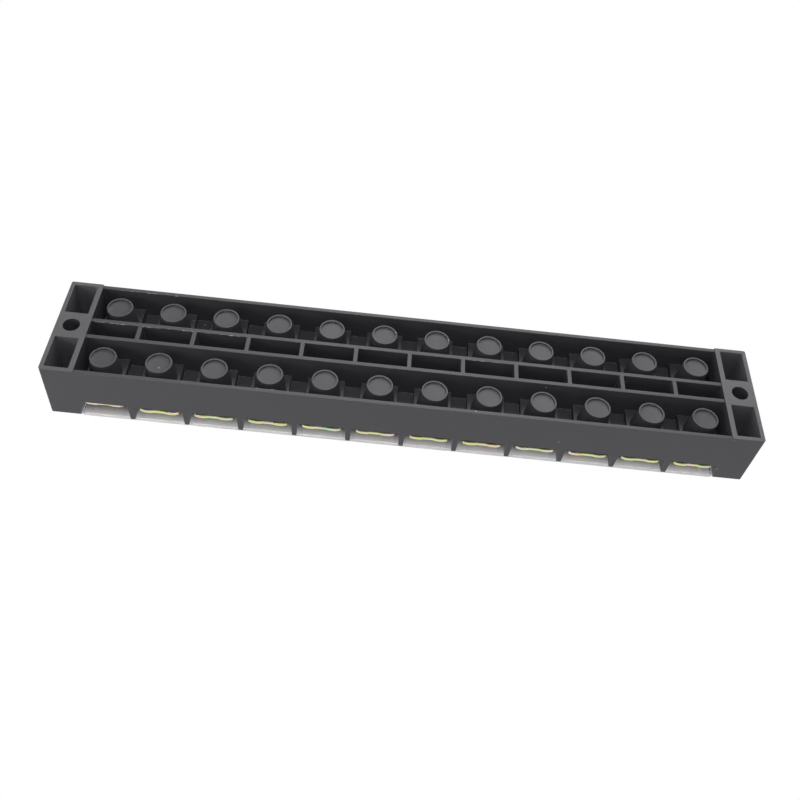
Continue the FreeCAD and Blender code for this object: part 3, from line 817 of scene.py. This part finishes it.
def paleTabletop():
    # white table behind the clear cover, seen from below only, through it or in the gaps at its ends: a
    # glowing plane with a painted shadow, dark under the strip and bright beside it
    material, tree = newMaterial("glowing tabletop with painted shadow")
    place = addNode(tree, "TexCoord").outputs["Object"]
    out = addNode(tree, "Math", {"operation": "ABSOLUTE"}, {
        0: addNode(tree, "SeparateXYZ", {}, {0: place}).outputs["Y"]})
    bright = addNode(tree, "MapRange", {"clamp": True, "interpolation_type": "SMOOTHSTEP"}, {
        "Value": out.outputs[0], "From Min": stage["paintedShadowTo"] * millimetre,
        "From Max": stage["openFrom"] * millimetre})
    direct = addNode(tree, "Mix", {"data_type": "RGBA"}, {
        0: bright.outputs["Result"], 6: linearColour(stage["paintedShadow"]), 7: linearColour(stage["open"])})
    path = addNode(tree, "LightPath")
    bounced = addNode(tree, "Math", {"operation": "ADD", "use_clamp": True}, {
        0: path.outputs["Glossy Depth"], 1: path.outputs["Diffuse Depth"]})
    colour = addNode(tree, "Mix", {"data_type": "RGBA"}, {
        0: bounced.outputs[0], 6: direct.outputs[2], 7: linearColour(stage["mirrored"])})
    # the tabletop glows with its painted shadow; no lamp lights it
    paintedGlow = addNode(tree, "Emission", {}, {"Color": colour.outputs[2], "Strength": 1.0})
    along = addNode(tree, "Math", {"operation": "ABSOLUTE"}, {
        0: addNode(tree, "SeparateXYZ", {}, {0: place}).outputs["X"]})
    beside = addNode(tree, "Math", {"operation": "COMPARE"}, {
        0: along.outputs[0], 1: stage["endGap"] * millimetre, 2: stage["endGapHalf"] * millimetre})
    under = addNode(tree, "Math", {"operation": "LESS_THAN"}, {
        0: out.outputs[0], 1: stage["endGapTo"] * millimetre})
    shown = addNode(tree, "Math", {"operation": "MULTIPLY"}, {0: beside.outputs[0], 1: under.outputs[0]})
    hidden = addNode(tree, "Math", {"operation": "SUBTRACT", "use_clamp": True}, {
        0: path.outputs["Is Camera Ray"], 1: shown.outputs[0]})
    blank = addNode(tree, "Math", {"operation": "MAXIMUM"}, {
        0: addNode(tree, "NewGeometry").outputs["Backfacing"], 1: hidden.outputs[0]})
    mixed = addNode(tree, "MixShader", {}, {
        0: blank.outputs[0], 1: paintedGlow.outputs[0], 2: addNode(tree, "BsdfTransparent").outputs[0]})
    addNode(tree, "OutputMaterial", {}, {"Surface": mixed.outputs[0]})
    return material


floor = flatPlane("studio_floor", stage["floorSize"], 0.0)
dress(floor, paleFloor())
floor.visible_shadow = False
floor.visible_diffuse = False
floor.visible_glossy = False

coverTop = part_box("cover")[1].z
tabletop = flatPlane(
    "studio_tabletop", stage["tabletopSize"], coverTop + stage["tabletopGap"] * millimetre, down=True)
dress(tabletop, paleTabletop())
tabletop.visible_shadow = False
tabletop.visible_diffuse = False
tabletop.visible_glossy = False

lampPlan = {
    # name: place in metres, side of the lamp in metres, radiant power in watts
    "softbox_under_back": ((0.08, -0.5, -0.55), 0.6, 2.95),
    "softbox_under_front": ((-0.42, 0.45, -0.2), 0.4, 0.25),
    "lamp_low_left": ((-0.2, 0.11, -0.07), 0.06, 0.1),
    "flash_beside_camera": ((-0.011, 0.11, -0.26), 0.06, 0.26),
    "softbox_over_left": ((-0.3, -0.4, 0.65), 0.5, 2.0),
    "softbox_over_back": ((0.3, -0.45, 0.62), 0.5, 2.0),
}
for name, (place, side, power) in lampPlan.items():
    light = bpy.data.lights.new(name, "AREA")
    light.shape = "SQUARE"
    light.size = side
    light.energy = power
    lamp = bpy.data.objects.new(name, light)
    bpy.context.scene.collection.objects.link(lamp)
    lamp.location = place
    lamp.rotation_euler = (-Vector(place)).to_track_quat("-Z", "Y").to_euler()


def studioWorld():
    # white where it is seen or looked through, and a soft grey as a light; mirrored, it is a pale table
    # over a dimmer room, and goes straight from one to the other with the direction's height
    world = bpy.data.worlds.new("studio")
    world.use_nodes = True
    tree = world.node_tree
    tree.nodes.clear()
    path = addNode(tree, "LightPath")
    shown = addNode(tree, "Math", {"operation": "MAXIMUM"}, {
        0: path.outputs["Is Camera Ray"], 1: path.outputs["Is Transmission Ray"]})
    direction = addNode(tree, "SeparateXYZ", {}, {0: addNode(tree, "TexCoord").outputs["Generated"]})
    mirrored = addNode(tree, "MapRange", {"clamp": True}, {
        "Value": direction.outputs["Z"], "From Min": -0.3, "From Max": 0.3,
        "To Min": stage["mirroredBelow"], "To Max": stage["mirroredAbove"]})
    soft = addNode(tree, "Background", {}, {"Color": (1, 1, 1, 1), "Strength": stage["softLight"]})
    glossy = addNode(tree, "Background", {}, {
        "Color": (1, 1, 1, 1), "Strength": mirrored.outputs["Result"]})
    white = addNode(tree, "Background", {}, {"Color": (1, 1, 1, 1), "Strength": 1.0})
    lit = addNode(tree, "MixShader", {}, {
        0: path.outputs["Is Glossy Ray"], 1: soft.outputs[0], 2: glossy.outputs[0]})
    mixed = addNode(tree, "MixShader", {}, {0: shown.outputs[0], 1: lit.outputs[0], 2: white.outputs[0]})
    addNode(tree, "OutputWorld", {}, {"Surface": mixed.outputs[0]})
    return world


bpy.context.scene.world = studioWorld()

shot = {
    "place": (-8.63, 148.74, -168.06),  # millimetres: in front of the strip and below it
    "turn": (-141.285, 5.073, -3.328),  # degrees about X, Y and Z
    "lens": 41.99,  # on a 36 mm sensor
}
view = bpy.data.cameras.new("photograph_view")
view.lens = shot["lens"]
view.sensor_width = 36
view.clip_start = 0.01
view.clip_end = 20
camera = bpy.data.objects.new("photograph_view", view)
camera.location = Vector(shot["place"]) * millimetre
camera.rotation_euler = [math.radians(angle) for angle in shot["turn"]]
bpy.context.scene.collection.objects.link(camera)
bpy.context.scene.camera = camera
bpy.context.scene.view_settings.view_transform = "Standard"
print("stage, lamps and camera made")
